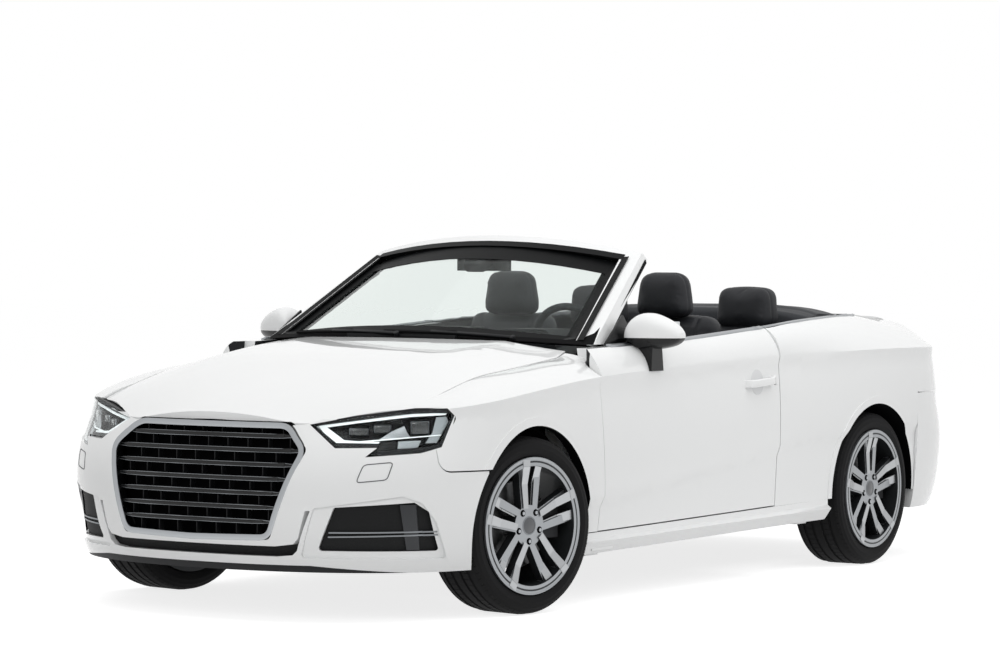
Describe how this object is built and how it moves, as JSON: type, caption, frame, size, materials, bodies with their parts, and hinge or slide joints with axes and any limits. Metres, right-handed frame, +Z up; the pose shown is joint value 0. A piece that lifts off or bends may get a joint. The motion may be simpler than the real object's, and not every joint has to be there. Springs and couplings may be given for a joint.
{
  "type": "convertible_car",
  "caption": "Four-seat convertible car with its fabric top stowed; hinged doors, hood and boot lid, steered front wheels and turning road wheels.",
  "frame": {"origin": "On the ground plane, under the middle of the overall length and width.", "axes": "+Z up; the nose points to -Y; the left side is at +X."},
  "size_m": [1.9688, 4.4187, 1.3599],
  "materials": {
    "paint": "gloss",
    "trim": "satin",
    "glass": "gloss",
    "satin": "satin",
    "reflector": "gloss",
    "lens": "gloss",
    "red_lens": "gloss",
    "carpet": "matte",
    "seat": "satin",
    "hood_cloth": "matte",
    "dash": "satin",
    "grip": "satin",
    "cast": "matte",
    "alloy": "satin",
    "steel": "satin",
    "tyre": "matte"
  },
  "bodies": {
    "car": {"centre_console": "dash", "dashboard": "dash", "engine_block": "cast", "exhaust": "steel", "fender_left": "paint", "fender_right": "paint", "floor_pan": "carpet", "front_bulkhead": "trim", "front_bumper": "paint", "front_frame": "steel", "front_seat_left": "seat", "front_seat_right": "seat", "front_subframe": "steel", "fuel_tank": "trim", "grille": "satin", "headlamp_lenses": "lens", "headlamps": "reflector", "interior_mirror": "trim", "lower_grilles": "trim", "quarter_left": "paint", "quarter_right": "paint", "radiator": "alloy", "rear_axle": "steel", "rear_bench": "seat", "rear_bulkhead": "trim", "rear_bumper": "paint", "side_frame_left": "paint", "side_frame_right": "paint", "soft_top": "hood_cloth", "tail_lamps": "red_lens", "wheel_liners": "trim", "windscreen_frame": "paint", "windscreen_glass": "glass"},
    "hood_body": {"hood": "paint"},
    "boot_body": {"boot_lid": "paint"},
    "left_door": {"door_left": "paint", "mirror_left": "paint"},
    "right_door": {"door_right": "paint", "mirror_right": "paint"},
    "steering": {"steering_wheel": "grip"},
    "left_knuckle": {"knuckle_left": "cast"},
    "right_knuckle": {"knuckle_right": "cast"},
    "wheel_fl": {"tyre_fl": "tyre", "rim_fl": "alloy"},
    "wheel_fr": {"tyre_fr": "tyre", "rim_fr": "alloy"},
    "wheel_rl": {"tyre_rl": "tyre", "rim_rl": "alloy"},
    "wheel_rr": {"tyre_rr": "tyre", "rim_rr": "alloy"}
  },
  "joints": [
    {"name": "steer_left", "type": "hinge", "parent": "car", "child": "left_knuckle", "pos_m": [0.7395, -1.3435, 0.3186], "axis": [0, 0, 1], "range_deg": [-25, 45]},
    {"name": "steer_right", "type": "hinge", "parent": "car", "child": "right_knuckle", "pos_m": [-0.7395, -1.3435, 0.3186], "axis": [0, 0, 1], "range_deg": [-25, 45]},
    {"name": "wheel_fl_spin", "type": "hinge", "parent": "left_knuckle", "child": "wheel_fl", "pos_m": [0.77692, -1.3501, 0.3186], "axis": [0.9848, -0.1736, 0], "continuous": true},
    {"name": "wheel_fr_spin", "type": "hinge", "parent": "right_knuckle", "child": "wheel_fr", "pos_m": [-0.77692, -1.3369, 0.3186], "axis": [0.9848, -0.1736, 0], "continuous": true},
    {"name": "wheel_rl_spin", "type": "hinge", "parent": "car", "child": "wheel_rl", "pos_m": [0.763, 1.2515, 0.3186], "axis": [1, 0, 0], "continuous": true},
    {"name": "wheel_rr_spin", "type": "hinge", "parent": "car", "child": "wheel_rr", "pos_m": [-0.763, 1.2515, 0.3186], "axis": [1, 0, 0], "continuous": true},
    {"name": "door_left_hinge", "type": "hinge", "parent": "car", "child": "left_door", "pos_m": [0.85664, -0.8665, 0.6], "axis": [0, 0, -1], "range_deg": [0, 65]},
    {"name": "door_right_hinge", "type": "hinge", "parent": "car", "child": "right_door", "pos_m": [-0.85664, -0.8665, 0.6], "axis": [0, 0, 1], "range_deg": [0, 65]},
    {"name": "hood_hinge", "type": "hinge", "parent": "car", "child": "hood_body", "pos_m": [0, -0.83484, 0.91526], "axis": [-1, 0, 0], "range_deg": [0, 50]},
    {"name": "boot_hinge", "type": "hinge", "parent": "car", "child": "boot_body", "pos_m": [0, 1.71723, 0.99903], "axis": [1, 0, 0], "range_deg": [0, 80]},
    {"name": "steering_turn", "type": "hinge", "parent": "car", "child": "steering", "pos_m": [0.37205, -0.27644, 0.91526], "axis": [0, 0.9135, 0.4067], "range_deg": [-360, 650]}
  ],
  "couplings": [
    {"joint": "steer_right", "follows": "steer_left", "ratio": 1},
    {"joint": "steering_turn", "follows": "steer_left", "ratio": 14.4}
  ]
}
